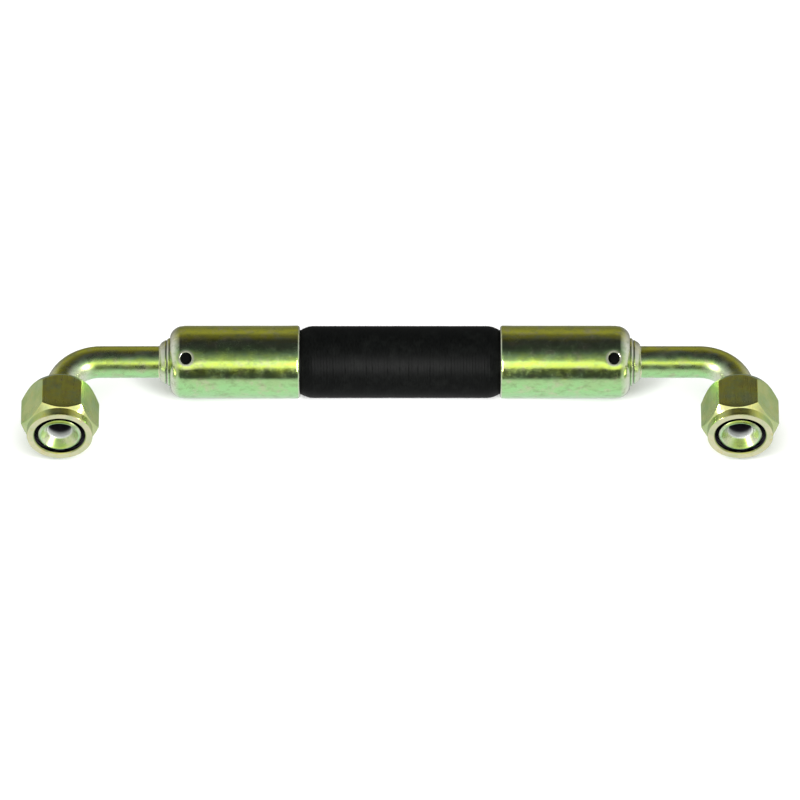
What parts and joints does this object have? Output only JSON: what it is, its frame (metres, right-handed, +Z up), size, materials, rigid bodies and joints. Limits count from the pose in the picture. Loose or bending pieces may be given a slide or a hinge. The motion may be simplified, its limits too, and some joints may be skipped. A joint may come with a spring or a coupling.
{
  "type": "hydraulic hose assembly",
  "caption": "Wire-braided hydraulic hose with a swaged shell, a bent-tube elbow, a flare sleeve and a hexagon swivel nut at each end.",
  "frame": {"origin": "middle of the assembly's box, at the level of its lowest point, so that it lies on Z = 0", "axes": "+X along the hose towards the right end, +Z up out of the plane that both elbows lie in, and both nuts face -Y"},
  "size_m": [0.3022, 0.0546, 0.0292],
  "materials": {
    "zinc_plated_steel": "bright yellow passivated zinc plate",
    "nut_zinc": "paler yellow passivated zinc plate on a turned and milled nut",
    "braze": "bright brazed fillet under the plate",
    "cover_rubber": "black synthetic rubber with fine wrap marks round it",
    "liner_rubber": "smooth black nitrile rubber",
    "braid_wire": "brass coated steel wire braid"
  },
  "bodies": {
    "left_half": {"hose_liner": "liner_rubber", "hose_inner_braid": "braid_wire", "hose_separator": "liner_rubber", "hose_outer_braid": "braid_wire", "hose_cover": "cover_rubber", "left_nipple": "zinc_plated_steel", "left_shell": "zinc_plated_steel", "left_braze_ring": "braze", "left_elbow_tube": "zinc_plated_steel"},
    "right_half": {"right_nipple": "zinc_plated_steel", "right_shell": "zinc_plated_steel", "right_braze_ring": "braze", "right_elbow_tube": "zinc_plated_steel"},
    "left_sleeve_slider": {"left_sleeve": "nut_zinc"},
    "left_swivel_nut": {"left_nut": "nut_zinc"},
    "right_sleeve_slider": {"right_sleeve": "nut_zinc"},
    "right_swivel_nut": {"right_nut": "nut_zinc"}
  },
  "joints": [
    {"name": "hose_flex", "type": "hinge", "parent": "left_half", "child": "right_half", "pos_m": [0, 0.01269, 0.01462], "axis": [0, 0, 1], "range_deg": [-20, 20], "stiffness_Nm_per_rad": 8, "deforming": ["hose_liner", "hose_inner_braid", "hose_separator", "hose_outer_braid", "hose_cover"]},
    {"name": "left_sleeve_slide", "type": "slide", "parent": "left_half", "child": "left_sleeve_slider", "axis": [0, -1, 0], "range_m": [0, 0.0085]},
    {"name": "left_nut_spin", "type": "hinge", "parent": "left_sleeve_slider", "child": "left_swivel_nut", "pos_m": [-0.1355, -0.01731, 0.01462], "axis": [0, -1, 0], "continuous": true},
    {"name": "right_sleeve_slide", "type": "slide", "parent": "right_half", "child": "right_sleeve_slider", "axis": [0, -1, 0], "range_m": [0, 0.0085]},
    {"name": "right_nut_spin", "type": "hinge", "parent": "right_sleeve_slider", "child": "right_swivel_nut", "pos_m": [0.1355, -0.01731, 0.01462], "axis": [0, -1, 0], "continuous": true}
  ]
}
